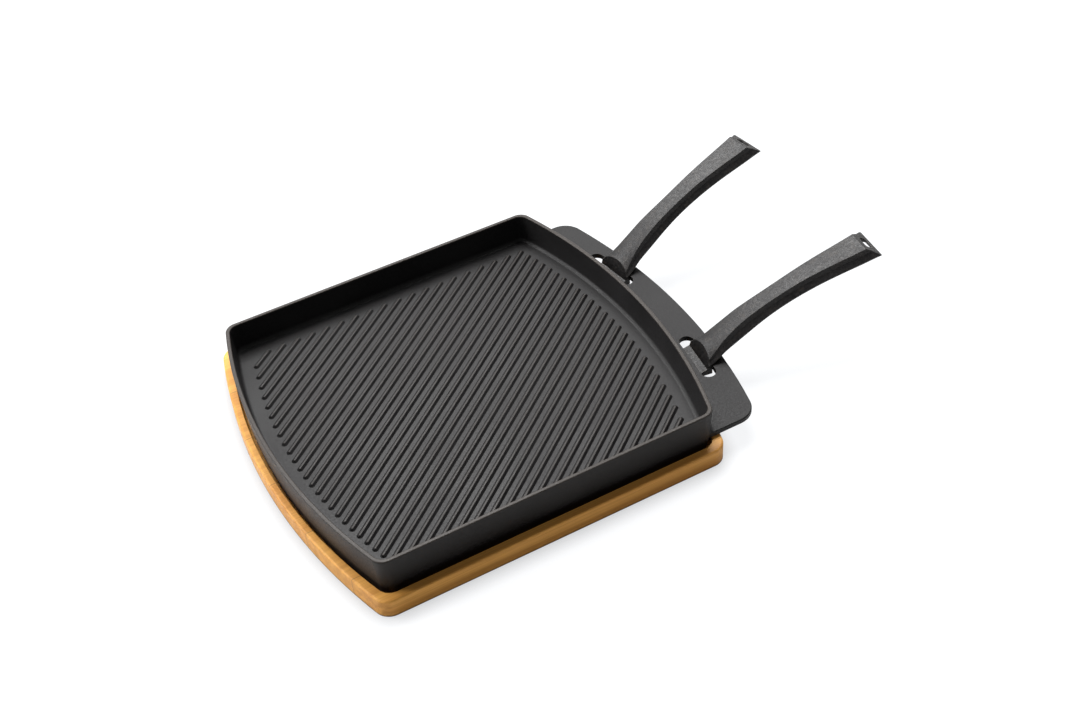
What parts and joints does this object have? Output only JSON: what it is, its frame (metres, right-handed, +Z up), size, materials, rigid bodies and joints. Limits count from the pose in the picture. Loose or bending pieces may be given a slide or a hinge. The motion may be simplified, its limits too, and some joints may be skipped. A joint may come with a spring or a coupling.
{
  "type": "double-sided grill pan",
  "caption": "Cast-iron grill pan with bowed ends, diagonal ribs and a flanged end with slots for lift-off handles, standing in a recessed bamboo board.",
  "frame": {"origin": "centre of the board's underside, on the surface that the object stands on", "axes": "+Z up, +X along the pan towards its handles, +Y to the far long side; the outline is symmetric about the XZ plane"},
  "size_m": [0.505, 0.3176, 0.0881],
  "materials": {
    "cast_iron": "matt seasoned cast iron",
    "bamboo": "oiled bamboo"
  },
  "bodies": {
    "board": {"board_stave_1": "bamboo", "board_stave_2": "bamboo", "board_stave_3": "bamboo", "board_stave_4": "bamboo", "board_stave_5": "bamboo", "board_stave_6": "bamboo"},
    "pan": {"grill_pan": "cast_iron"},
    "handle_far": {"handle_far": "cast_iron"},
    "handle_near": {"handle_near": "cast_iron"}
  },
  "joints": [
    {"name": "pan_lift", "type": "slide", "parent": "board", "child": "pan", "axis": [0, 0, 1], "range_m": [0, 0.06]},
    {"name": "handle_far_tilt", "type": "hinge", "parent": "pan", "child": "handle_far", "pos_m": [0.18615, 0.06614, 0.0162], "axis": [0.1311, -0.9914, 0], "range_deg": [0, 45]},
    {"name": "handle_near_tilt", "type": "hinge", "parent": "pan", "child": "handle_near", "pos_m": [0.18615, -0.06614, 0.0162], "axis": [-0.1311, -0.9914, 0], "range_deg": [0, 45]}
  ]
}
